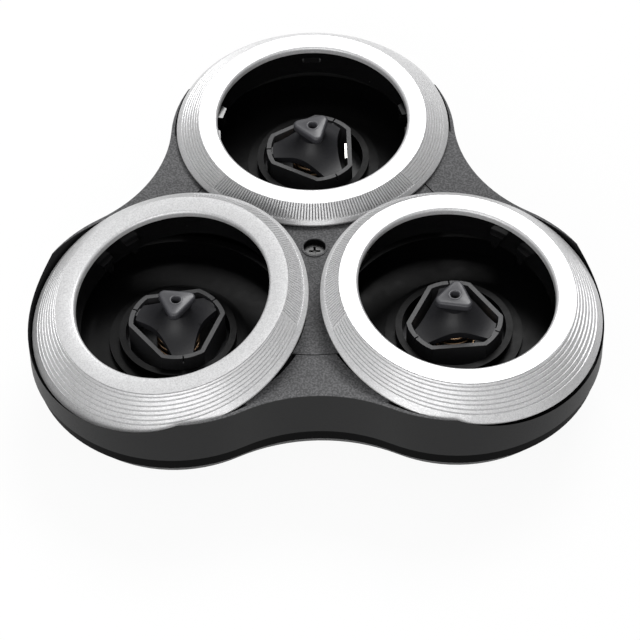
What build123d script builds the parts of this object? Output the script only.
from build123d import *
import math
import os

# Rotary shaver head with three rocking silver rings over their hair cups and drive spindles.
# Millimetres, +Z up. The origin lies on the drive axis, on the face that the head stands on.
# Each unit has a hinge frame (X outward, Y along the hinge, Z out of the ring)
# and a drive frame on the same line, whose origin is the centre of the collar's rim.

# The three units
unit_azimuth = {"left": 210, "right": 330, "top": 90}
ring_rest_tilt = {"left": 12.2, "right": 7.2, "top": -2.5}
gear_tooth_step = {"left": 22, "right": 27, "top": 24}
unit_distance = 19.4
hinge_height = 15.6
most_outward_tilt = 13.5

# Fits and clearances
running_fit = 0.05
slip_fit = 0.02
moving_gap = 0.3

# Silver ring, heights from its hinge axis
opening_radius = 12.0
opening_chamfer = 0.3
face_width = 2.33
crease_radius = opening_radius + face_width
crease_height = 2.75
face_thickness = 0.9
skirt_flare = 2.93
skirt_radius = crease_radius + skirt_flare
skirt_height = -0.04
skirt_shift = 1.0
skirt_lean = 2.7
skirt_wall = 1.0
skirt_lip = 0.25

# Cutter carrier under the silver ring
carrier_ledge = 0.5
carrier_bore_radius = opening_radius + carrier_ledge
carrier_wall = 0.9
carrier_radius = carrier_bore_radius + carrier_wall
skirt_root_gap = 0.55
skirt_root_radius = carrier_radius + skirt_root_gap
carrier_bottom = -2.3
trunnion_radius = 0.8
trunnion_reach = 0.1
hook_angles = (-92, -73, 73, 92)
hook_reach = 0.8
hook_top_width = 2.4
hook_tip_width = 0.9
hook_top = 0.3
hook_taper = 12
latch_width = 2.4
latch_height = 1.0
clip_width = 2.2
clip_height = 1.8
clip_thickness = 0.3

# Drive collar and its gear, heights from the collar's rim
collar_drop = 2.9
collar_radius = 5.9
collar_flat = 4.9
collar_wall = 0.55
collar_slit_width = 0.2
collar_slit_depth = 0.9
collar_clocking = -5.0
gear_top = -4.4
gear_thickness = 1.1
drive_teeth = 32
sun_teeth = 24
addendum_share = 0.85
dedendum_share = 1.1
tooth_backlash = 0.1
pressure_angle = 20
root_flare = 0.8
tip_flare = 1.2
hub_radius = 1.95
hub_top = -2.6

# Steel strip on one flat of each collar
strip_length = 2.6
strip_height = 1.6
strip_thickness = 0.3
strip_top = -0.7

# Spindle, heights from the collar's rim
spindle_travel = 1.2
nose_tip = 4.0
nose_inradius = 1.55
nose_rounding = 0.8
nose_edge = 3.25
nose_band = 0.3
nose_slope = 0.4
nose_clocking = -15
nose_hole_radius = 0.55
nose_hole_depth = 1.1
neck_radius = 1.55
neck_height = 2.3
bell_radius = 5.15
bell_edge_height = -0.3
bell_skirt = 1.2
bell_wall = 0.65
bell_roof = 1.3
bell_waist_radius = 2.9
bell_waist_height = 0.75
wing_cut_radius = 14.0
wing_cut_depth = 3.1
rib_width = 1.2
stem_radius = 1.85
stem_bottom = -0.9

# Spring under each spindle
spring_radius = 2.45
spring_wire = 0.2
spring_turns = 4
spring_top = -0.2

# Axle pins, heights from the collar's rim
pin_radius = 1.0
pin_top = 0.8
pin_bottom = -7.9
pin_boss_radius = 2.2
pin_chamfer = 0.2
pin_boss_height = 2.1

# Hair chambers, heights from the hinge axis
chamber_gap = 0.6
chamber_wall = 1.0
chamber_radius = carrier_radius + chamber_gap + chamber_wall
chamber_top = -3.7
chamber_floor_top = -6.2
chamber_floor = 0.8
collar_guard_gap = 0.45
collar_guard_wall = 0.8
collar_guard_top = -4.5
collar_step_radius = 8.4
collar_step_top = -5.6
ear_inner = carrier_radius + moving_gap
ear_thickness = 0.7
ear_rounding = 1.25
web_bottom = 9.4
web_thickness = 1.0
web_radius = 20.8
web_inset = 2.6
post_distance = 17.9
post_radius = 1.9

# Trefoil outline of the housing, round the silver rings
lobe_offset = 0.2
lobe_distance = unit_distance + lobe_offset
lobe_margin = 0.74
lobe_radius = skirt_radius + lobe_margin
waist_radius = 18.8

# Base shell and its coupling neck
neck_outer_radius = 9.5
neck_wall = 1.6
neck_length = 4.0
neck_groove_height = 1.0
neck_groove_depth = 0.5
neck_groove_bottom = 1.6
base_inset = 0.5
base_top = 8.4
base_floor = 1.0
base_wall = 1.4
base_foot_inset = 1.6
base_foot_height = 2.4
journal_boss_radius = 4.6

# Outer frame and centre bracket
frame_top = 15.06
frame_skin = 1.2
frame_wall = 1.6
slit_radius = 17.3
slit_width = 0.15
bracket_well_gap = 0.75
bracket_well_radius = chamber_radius + bracket_well_gap
bracket_thickness = 1.0
bracket_boss_radius = 2.5
bracket_leg_radius = 1.0
bracket_leg_distance = 15.8
screw_pocket_radius = 1.38
screw_pocket_depth = 1.5
screw_lip_width = 0.25
screw_lip_height = 0.12

# Central gear
sun_bottom = 7.15
sun_top = 8.4
sun_journal_radius = 3.1
sun_journal_bottom = 1.6
sun_boss_radius = 1.8
drive_bore_radius = 1.6
drive_bore_depth = 3.6
drive_key_width = 0.7
drive_key_reach = 2.2

# Screws
screw_head_radius = 1.25
screw_head_height = 0.8
screw_shank_radius = 0.8
cross_length = 1.4
cross_width = 0.3
cover_cross_length = 1.8
cover_cross_width = 0.4
cover_head_radius = 1.6
cover_screw_length = 4.4
cover_head_depth = 0.6


def hinge_plane(azimuth, tilt=0):
    """Plane on a unit's hinge axis, X outward, tilted outward about that axis."""
    place = Rotation(0, 0, azimuth) * Pos(unit_distance, 0, hinge_height) * Rotation(0, tilt, 0)
    return Plane(place)


def skirt_edge_plane(azimuth, tilt=0):
    """Plane of the silver skirt's wide end, shifted outward and leaning a little more than the ring."""
    place = hinge_plane(azimuth, tilt).location * Pos(skirt_shift, 0, skirt_height)
    return Plane(place * Rotation(0, skirt_lean, 0))


def drive_plane(azimuth):
    """Plane of the collar's rim on the unit's drive axis."""
    return hinge_plane(azimuth).offset(-collar_drop)


def trefoil(inset=0.0):
    """Three round lobes joined by hollow waists, each arc tangent to the next."""
    lobe = lobe_radius - inset
    waist = waist_radius + inset
    half = lobe_distance * math.sin(math.radians(60))
    waist_distance = lobe_distance / 2 + math.sqrt((lobe + waist) ** 2 - half**2)
    meeting = math.degrees(
        math.atan2(waist_distance * math.sin(math.radians(60)), waist_distance / 2 - lobe_distance)
    )
    with BuildSketch() as outline:
        with BuildLine():
            for azimuth in unit_azimuth.values():
                lobe_centre = Vector(lobe_distance, 0).rotate(Axis.Z, azimuth)
                waist_centre = Vector(waist_distance, 0).rotate(Axis.Z, azimuth + 60)
                CenterArc(lobe_centre, lobe, azimuth - meeting, 2 * meeting)
                CenterArc(waist_centre, waist, azimuth + meeting + 180, -2 * (meeting - 60))
        make_face()
    return outline.sketch


def trilobe(radius, flat):
    """Circle with three flats, at the given distance from its centre."""
    with BuildSketch() as outline:
        Circle(radius)
        with PolarLocations(flat + radius / 2, 3):
            Rectangle(radius, 2 * radius, mode=Mode.SUBTRACT)
    return outline.sketch


# Both gears share one module, from the distance between their axes
gear_module = 2 * unit_distance / (sun_teeth + drive_teeth)


def gear_outline(teeth):
    """Spur gear face with its first tooth on +X."""
    pitch_radius = gear_module * teeth / 2
    root_radius = pitch_radius - dedendum_share * gear_module
    tip_radius = pitch_radius + addendum_share * gear_module
    half_pitch = math.pi * gear_module / 4 - tooth_backlash / 2
    slope = math.tan(math.radians(pressure_angle))
    half_root = half_pitch + (pitch_radius - root_radius) * slope * root_flare
    half_tip = half_pitch - (tip_radius - pitch_radius) * slope * tip_flare
    foot = root_radius * 0.97
    with BuildSketch() as face:
        Circle(root_radius)
        with PolarLocations(0, teeth):
            Polygon(
                (foot, -half_root),
                (root_radius, -half_root),
                (pitch_radius, -half_pitch),
                (tip_radius, -half_tip),
                (tip_radius, half_tip),
                (pitch_radius, half_pitch),
                (root_radius, half_root),
                (foot, half_root),
                align=None,
            )
    return face.sketch


# Silver ring: a flat face, a crease, and a skirt whose wide end is shifted outward
skirt_plane = Plane(Pos(skirt_shift, 0, skirt_height) * Rotation(0, skirt_lean, 0))
face_underside = crease_height - face_thickness
with BuildPart() as silver_ring:
    with BuildSketch(Plane.XY.offset(crease_height)):
        Circle(crease_radius)
    with BuildSketch(skirt_plane):
        Circle(skirt_radius)
    loft()
    with BuildSketch(skirt_plane):
        Circle(skirt_radius)
    extrude(amount=-skirt_lip)
    with BuildSketch(Plane.XY.offset(face_underside)):
        Circle(skirt_root_radius)
    with BuildSketch(skirt_plane):
        Circle(skirt_radius - skirt_wall)
    loft(mode=Mode.SUBTRACT)
    with BuildSketch(skirt_plane):
        Circle(skirt_radius - skirt_wall)
    extrude(amount=-2 * skirt_lip, mode=Mode.SUBTRACT)
    with BuildSketch(Plane.XY.offset(crease_height)):
        Circle(opening_radius)
    extrude(amount=-2 * face_thickness, mode=Mode.SUBTRACT)
    opening_edge = silver_ring.edges().filter_by(GeomType.CIRCLE).group_by(Axis.Z)[-1].sort_by(SortBy.RADIUS)[0]
    chamfer(opening_edge, length=opening_chamfer)

# Cutter carrier: a short tube with trunnions, snap hooks, a latch window and a clip slot
with BuildPart() as cutter_carrier:
    with BuildSketch(Plane.XY.offset(carrier_bottom)):
        Circle(carrier_radius)
        Circle(carrier_bore_radius, mode=Mode.SUBTRACT)
    extrude(amount=face_underside - carrier_bottom)
    for side in (-1, 1):
        with BuildSketch(Plane.XZ.offset(-side * (ear_inner + ear_thickness + trunnion_reach))):
            Circle(trunnion_radius)
        extrude(amount=side * (ear_inner + ear_thickness + trunnion_reach - carrier_radius + carrier_wall / 2))
    for angle in hook_angles:
        wall = Plane.YZ.rotated((0, 0, angle)).offset(carrier_bore_radius + carrier_wall / 2)
        with BuildSketch(wall):
            with BuildLine():
                Polyline(
                    (-hook_top_width / 2, hook_top),
                    (hook_top_width / 2, hook_top),
                    (hook_tip_width / 2, carrier_bottom),
                    (-hook_tip_width / 2, carrier_bottom),
                    close=True,
                )
            make_face()
        extrude(amount=-(hook_reach + carrier_wall / 2), taper=hook_taper)
    with BuildSketch(Plane.YZ):
        SlotOverall(latch_width, latch_height)
    extrude(amount=carrier_radius + 1, mode=Mode.SUBTRACT)
    with BuildSketch(Plane.YZ.offset(-carrier_bore_radius + 1)):
        Rectangle(clip_width + 2 * running_fit, clip_height + 2 * running_fit)
    extrude(amount=-(carrier_wall + 2), mode=Mode.SUBTRACT)

# Steel clip that fills the slot on the inward side of the carrier
with BuildPart() as retainer_clip:
    with BuildSketch(Plane.YZ.offset(-carrier_bore_radius - carrier_wall)):
        Rectangle(clip_width, clip_height)
    extrude(amount=clip_thickness)
    with BuildSketch(Plane.YZ.offset(-carrier_bore_radius - carrier_wall)):
        with Locations((0, -clip_height / 2 + clip_thickness / 2)):
            Rectangle(clip_width, clip_thickness)
    extrude(amount=carrier_wall)

# Drive gear with its three-sided collar
with BuildPart() as drive_gear:
    with BuildSketch(Plane.XY.offset(gear_top - gear_thickness)):
        add(gear_outline(drive_teeth))
    extrude(amount=gear_thickness)
    with BuildSketch(Plane.XY.offset(gear_top)):
        add(trilobe(collar_radius, collar_flat), rotation=collar_clocking)
        add(
            trilobe(collar_radius - collar_wall, collar_flat - collar_wall),
            rotation=collar_clocking,
            mode=Mode.SUBTRACT,
        )
    extrude(amount=-gear_top)
    with BuildSketch(Plane.XY.offset(gear_top)):
        Circle(hub_radius)
    extrude(amount=hub_top - gear_top)
    with BuildSketch(Plane.XY.offset(gear_top - gear_thickness)):
        Circle(pin_radius + running_fit)
    extrude(amount=hub_top - gear_top + gear_thickness, mode=Mode.SUBTRACT)
    with BuildSketch(Plane.XY):
        with PolarLocations(collar_radius - collar_wall / 2, 3, start_angle=collar_clocking + 60):
            Rectangle(2 * collar_wall, collar_slit_width)
    extrude(amount=-collar_slit_depth, mode=Mode.SUBTRACT)

# Bright strip against the inner face of one flat
with BuildPart() as drive_strip:
    with BuildSketch(Plane.XY.offset(strip_top)):
        with PolarLocations(collar_flat - collar_wall - strip_thickness / 2, 1, start_angle=collar_clocking):
            Rectangle(strip_thickness, strip_length)
    extrude(amount=-strip_height)

wing_angle = collar_clocking + 60


def nose_outline(inset):
    """Three-cornered nose with round corners, pointing along the wings."""
    with BuildSketch() as outline:
        RegularPolygon(nose_inradius - inset, 3, major_radius=False, rotation=wing_angle + nose_clocking)
        fillet(outline.vertices(), nose_rounding - inset)
    return outline.sketch


# Spindle: a hollow bell cut to three wings, with a three-cornered nose and a guided stem
with BuildPart() as spindle:
    with BuildSketch(Plane.XZ):
        with BuildLine():
            Polyline((0, neck_height), (neck_radius, neck_height))
            ThreePointArc(
                (neck_radius, neck_height),
                (bell_waist_radius, bell_waist_height),
                (bell_radius, bell_edge_height),
            )
            Polyline(
                (bell_radius, bell_edge_height),
                (bell_radius, bell_edge_height - bell_skirt),
                (bell_radius - bell_wall, bell_edge_height - bell_skirt),
                (bell_radius - bell_wall, bell_edge_height - bell_wall),
            )
            ThreePointArc(
                (bell_radius - bell_wall, bell_edge_height - bell_wall),
                (bell_waist_radius - bell_wall / 2, bell_waist_height - bell_wall),
                (stem_radius, bell_edge_height + bell_roof),
            )
            Polyline(
                (stem_radius, bell_edge_height + bell_roof),
                (stem_radius, stem_bottom),
                (0, stem_bottom),
                (0, neck_height),
            )
        make_face()
    revolve(axis=Axis.Z)
    with BuildSketch(Plane.XY.offset(bell_edge_height - bell_skirt)):
        Circle(bell_radius)
        with PolarLocations(wing_cut_depth + wing_cut_radius, 3, start_angle=collar_clocking):
            Circle(wing_cut_radius, mode=Mode.SUBTRACT)
    extrude(amount=nose_tip, mode=Mode.INTERSECT)
    with BuildSketch(Plane.XY.offset(bell_edge_height - bell_skirt)):
        rib_length = collar_radius - collar_wall - running_fit - (bell_radius - bell_wall)
        with PolarLocations(bell_radius - bell_wall + rib_length / 2, 3, start_angle=wing_angle):
            Rectangle(rib_length, rib_width)
    extrude(amount=bell_skirt)
    with BuildSketch(Plane.XY.offset(neck_height)):
        Circle(neck_radius)
    with BuildSketch(Plane.XY.offset(nose_edge)):
        add(nose_outline(0))
    loft()
    with BuildSketch(Plane.XY.offset(nose_edge)):
        add(nose_outline(0))
    extrude(amount=nose_band)
    with BuildSketch(Plane.XY.offset(nose_edge + nose_band)):
        add(nose_outline(0))
    with BuildSketch(Plane.XY.offset(nose_tip)):
        add(nose_outline(nose_slope))
    loft()
    with BuildSketch(Plane.XY.offset(nose_tip)):
        Circle(nose_hole_radius)
    extrude(amount=-nose_hole_depth, mode=Mode.SUBTRACT)
    with BuildSketch(Plane.XY.offset(stem_bottom)):
        Circle(pin_radius + running_fit)
    extrude(amount=pin_top + spindle_travel + slip_fit - stem_bottom, mode=Mode.SUBTRACT)

# Spring between the gear's web and the underside of the bell
spring_bottom = gear_top + spring_wire
spring_height = spring_top - spring_bottom
with BuildPart() as spindle_spring:
    with BuildLine(Plane.XY.offset(spring_bottom)) as coil:
        Helix(pitch=spring_height / spring_turns, height=spring_height, radius=spring_radius)
    with BuildSketch(Plane(origin=coil.line @ 0, z_dir=coil.line % 0)):
        Circle(spring_wire)
    sweep(path=coil.line, is_frenet=True)

# Steel axle pin, in the drive frame
with BuildPart() as axle_pin:
    with BuildSketch(Plane.XY.offset(pin_bottom)):
        Circle(pin_radius)
    extrude(amount=pin_top - pin_bottom)
    chamfer(axle_pin.faces().sort_by(Axis.Z)[-1].edges(), length=pin_chamfer)

# Base shell: coupling neck, floor, wall with a chamfered foot, and bosses
floor_top = neck_length + base_floor
first_unit = unit_azimuth["top"]
first_waist = first_unit + 60
with BuildPart() as base_shell:
    with BuildSketch(Plane.XY.offset(neck_length)):
        add(trefoil(base_inset + base_foot_inset))
    with BuildSketch(Plane.XY.offset(neck_length + base_foot_height)):
        add(trefoil(base_inset))
    loft()
    with BuildSketch(Plane.XY.offset(neck_length + base_foot_height)):
        add(trefoil(base_inset))
    extrude(amount=base_top - neck_length - base_foot_height)
    with BuildSketch(Plane.XY.offset(floor_top)):
        add(trefoil(base_inset + base_foot_inset + base_wall))
    extrude(amount=base_top - floor_top, mode=Mode.SUBTRACT)
    with BuildSketch(Plane.XY.offset(neck_length + base_foot_height)):
        add(trefoil(base_inset + base_wall))
    extrude(amount=base_top - neck_length - base_foot_height, mode=Mode.SUBTRACT)
    with BuildSketch():
        Circle(neck_outer_radius)
    extrude(amount=neck_length)
    with BuildSketch():
        Circle(neck_outer_radius - neck_wall)
    extrude(amount=neck_length, mode=Mode.SUBTRACT)
    with BuildSketch(Plane.XY.offset(neck_groove_bottom)):
        Circle(neck_outer_radius)
        Circle(neck_outer_radius - neck_groove_depth, mode=Mode.SUBTRACT)
    extrude(amount=neck_groove_height, mode=Mode.SUBTRACT)
    with BuildSketch(Plane.XY.offset(neck_length)):
        Circle(journal_boss_radius)
        with PolarLocations(unit_distance, 3, start_angle=first_unit):
            Circle(pin_boss_radius)
    extrude(amount=pin_boss_height + base_floor)
    with BuildSketch(Plane.XY.offset(neck_length)):
        Circle(sun_journal_radius + running_fit)
    extrude(amount=base_top, mode=Mode.SUBTRACT)
    with BuildSketch(Plane.XY.offset(hinge_height - collar_drop + pin_bottom)):
        with PolarLocations(unit_distance, 3, start_angle=first_unit):
            Circle(pin_radius + slip_fit)
    extrude(amount=base_top, mode=Mode.SUBTRACT)
    with BuildSketch(Plane.XY.offset(neck_length)):
        with PolarLocations(post_distance, 3, start_angle=first_waist):
            Circle(screw_shank_radius + moving_gap / 2)
    extrude(amount=base_floor, mode=Mode.SUBTRACT)
    with BuildSketch(Plane.XY.offset(neck_length)):
        with PolarLocations(post_distance, 3, start_angle=first_waist):
            Circle(cover_head_radius + moving_gap / 2)
    extrude(amount=cover_head_depth, mode=Mode.SUBTRACT)

# Chamber body: three cups with hinge ears, joined by a web that stands on three posts
guard_bore_radius = collar_radius + collar_guard_gap
with BuildPart() as chamber_body:
    with BuildSketch(Plane.XY.offset(web_bottom)):
        add(trefoil(web_inset))
        Circle(web_radius, mode=Mode.INTERSECT)
    extrude(amount=web_thickness)
    with BuildSketch(Plane.XY.offset(floor_top)):
        with PolarLocations(post_distance, 3, start_angle=first_waist):
            Circle(post_radius)
    extrude(amount=web_bottom - floor_top)
    with BuildSketch(Plane.XY.offset(hinge_height + chamber_floor_top)):
        with PolarLocations(unit_distance, 3, start_angle=first_unit):
            Circle(chamber_radius - chamber_wall)
    extrude(amount=web_thickness * 2, mode=Mode.SUBTRACT)
    for azimuth in unit_azimuth.values():
        hinge = hinge_plane(azimuth)
        with BuildSketch(hinge.offset(chamber_floor_top - chamber_floor)):
            Circle(chamber_radius)
        extrude(amount=chamber_floor)
        with BuildSketch(hinge.offset(chamber_floor_top)):
            Circle(chamber_radius)
            Circle(chamber_radius - chamber_wall, mode=Mode.SUBTRACT)
        extrude(amount=chamber_top - chamber_floor_top)
        with BuildSketch(hinge.offset(chamber_floor_top)):
            Circle(collar_step_radius)
        extrude(amount=collar_step_top - chamber_floor_top)
        with BuildSketch(hinge.offset(chamber_floor_top)):
            Circle(guard_bore_radius + collar_guard_wall)
        extrude(amount=collar_guard_top - chamber_floor_top)
        with BuildSketch(hinge.offset(chamber_floor_top - chamber_floor)):
            Circle(guard_bore_radius)
        extrude(amount=collar_guard_top - chamber_floor_top + chamber_floor, mode=Mode.SUBTRACT)
        for side in (-1, 1):
            ear_face = hinge.y_dir * side * ear_inner + hinge.origin
            with BuildSketch(Plane(origin=ear_face, x_dir=-hinge.z_dir, z_dir=hinge.y_dir * side)):
                Circle(ear_rounding)
                Rectangle(-chamber_floor_top, 2 * ear_rounding, align=(Align.MIN, Align.CENTER))
                Circle(trunnion_radius + running_fit, mode=Mode.SUBTRACT)
            extrude(amount=ear_thickness)
    with BuildSketch(Plane.XY.offset(floor_top)):
        with PolarLocations(post_distance, 3, start_angle=first_waist):
            Circle(screw_shank_radius + slip_fit)
    extrude(amount=cover_screw_length, mode=Mode.SUBTRACT)
    with BuildSketch(Plane.XY.offset(web_bottom + web_thickness)):
        Circle(screw_shank_radius + slip_fit)
    extrude(amount=-web_thickness / 2, mode=Mode.SUBTRACT)

# Outer frame: a trefoil band whose lobes are cut low enough for the rings to rock outward
with BuildPart() as outer_frame:
    with BuildSketch(Plane.XY.offset(base_top)):
        add(trefoil())
    extrude(amount=frame_top - base_top)
    with BuildSketch(Plane.XY.offset(base_top)):
        add(trefoil(frame_wall))
    extrude(amount=frame_top - frame_skin - base_top, mode=Mode.SUBTRACT)
    with BuildSketch(Plane.XY.offset(base_top)):
        Circle(slit_radius + slit_width)
        with PolarLocations(lobe_distance, 3, start_angle=first_unit):
            Circle(lobe_radius - frame_wall)
    extrude(amount=frame_top - base_top, mode=Mode.SUBTRACT)
    for azimuth in unit_azimuth.values():
        with BuildSketch(skirt_edge_plane(azimuth, most_outward_tilt).offset(-skirt_lip - moving_gap)):
            Circle(skirt_radius + moving_gap)
        extrude(amount=frame_top, mode=Mode.SUBTRACT)

# Centre bracket: a three-armed plate on a boss and three legs
web_top = web_bottom + web_thickness
with BuildPart() as centre_bracket:
    with BuildSketch(Plane.XY.offset(frame_top - bracket_thickness)):
        Circle(slit_radius)
        with PolarLocations(unit_distance, 3, start_angle=first_unit):
            Circle(bracket_well_radius, mode=Mode.SUBTRACT)
    extrude(amount=bracket_thickness)
    with BuildSketch(Plane.XY.offset(web_top)):
        Circle(bracket_boss_radius)
        with PolarLocations(bracket_leg_distance, 3, start_angle=first_waist):
            Circle(bracket_leg_radius)
    extrude(amount=frame_top - web_top - bracket_thickness / 2)
    with BuildSketch(Plane.XY.offset(frame_top)):
        Circle(screw_pocket_radius + screw_lip_width)
    extrude(amount=screw_lip_height)
    with BuildSketch(Plane.XY.offset(frame_top + screw_lip_height)):
        Circle(screw_pocket_radius)
    extrude(amount=-(screw_pocket_depth + screw_lip_height), mode=Mode.SUBTRACT)
    with BuildSketch(Plane.XY.offset(web_top)):
        Circle(screw_shank_radius + slip_fit)
    extrude(amount=frame_top - web_top, mode=Mode.SUBTRACT)

# Centre screw, sunk in its pocket
screw_seat = frame_top - screw_pocket_depth
with BuildPart() as centre_screw:
    with BuildSketch(Plane.XY.offset(screw_seat)):
        Circle(screw_head_radius)
    extrude(amount=screw_head_height)
    with BuildSketch(Plane.XY.offset(screw_seat)):
        Circle(screw_shank_radius)
    extrude(amount=web_bottom + web_thickness / 2 - screw_seat)
    with BuildSketch(Plane.XY.offset(screw_seat + screw_head_height)):
        Rectangle(cross_length, cross_width)
        Rectangle(cross_width, cross_length)
    extrude(amount=-screw_head_height / 2, mode=Mode.SUBTRACT)

# Cover screws, driven up into the posts from the underside
with BuildPart() as cover_screws:
    with BuildSketch(Plane.XY.offset(neck_length)):
        with PolarLocations(post_distance, 3, start_angle=first_waist):
            Circle(cover_head_radius)
    extrude(amount=cover_head_depth)
    with BuildSketch(Plane.XY.offset(neck_length)):
        with PolarLocations(post_distance, 3, start_angle=first_waist):
            Circle(screw_shank_radius)
    extrude(amount=base_floor + cover_screw_length)
    with BuildSketch(Plane.XY.offset(neck_length)):
        with PolarLocations(post_distance, 3, start_angle=first_waist):
            Rectangle(cover_cross_length, cover_cross_width)
            Rectangle(cover_cross_width, cover_cross_length)
    extrude(amount=cover_head_depth / 2, mode=Mode.SUBTRACT)

# Central gear: journal in the base, blind drive bore with two key slots
with BuildPart() as central_gear:
    with BuildSketch(Plane.XY.offset(sun_bottom)):
        add(gear_outline(sun_teeth))
    extrude(amount=sun_top - sun_bottom)
    with BuildSketch(Plane.XY.offset(sun_journal_bottom)):
        Circle(sun_journal_radius)
    extrude(amount=sun_bottom - sun_journal_bottom)
    with BuildSketch(Plane.XY.offset(sun_top)):
        Circle(sun_boss_radius)
    extrude(amount=web_bottom - sun_top - running_fit)
    with BuildSketch(Plane.XY.offset(sun_journal_bottom)):
        Circle(drive_bore_radius)
        Rectangle(2 * drive_key_reach, drive_key_width)
    extrude(amount=drive_bore_depth, mode=Mode.SUBTRACT)

os.makedirs("parts", exist_ok=True)


def write(piece, name):
    """Label a finished piece and write it under its own name."""
    piece.label = name
    export_step(piece, f"parts/{name}.step")


write(base_shell.part, "base_shell")
write(chamber_body.part, "chamber_body")
write(outer_frame.part, "outer_frame")
write(centre_bracket.part, "centre_bracket")
write(centre_screw.part, "centre_screw")
write(cover_screws.part, "cover_screws")
write(central_gear.part, "central_gear")

# The three axle pins are one group of separate solids
pin_places = [drive_plane(azimuth).location for azimuth in unit_azimuth.values()]
write(Compound(children=[place * axle_pin.part for place in pin_places]), "axle_pins")

# A tooth gap of each drive gear faces the central gear
tooth_angle = 360 / drive_teeth
for unit, azimuth in unit_azimuth.items():
    ring_place = hinge_plane(azimuth, ring_rest_tilt[unit]).location
    write(ring_place * silver_ring.part, f"{unit}_silver_ring")
    write(ring_place * cutter_carrier.part, f"{unit}_cutter_carrier")
    write(ring_place * retainer_clip.part, f"{unit}_retainer_clip")
    turn = tooth_angle * (gear_tooth_step[unit] + 0.5)
    drive_place = drive_plane(azimuth).location * Rotation(0, 0, turn)
    write(drive_place * drive_gear.part, f"{unit}_drive_gear")
    write(drive_place * drive_strip.part, f"{unit}_drive_strip")
    write(drive_place * spindle.part, f"{unit}_spindle")
    write(drive_place * spindle_spring.part, f"{unit}_spindle_spring")
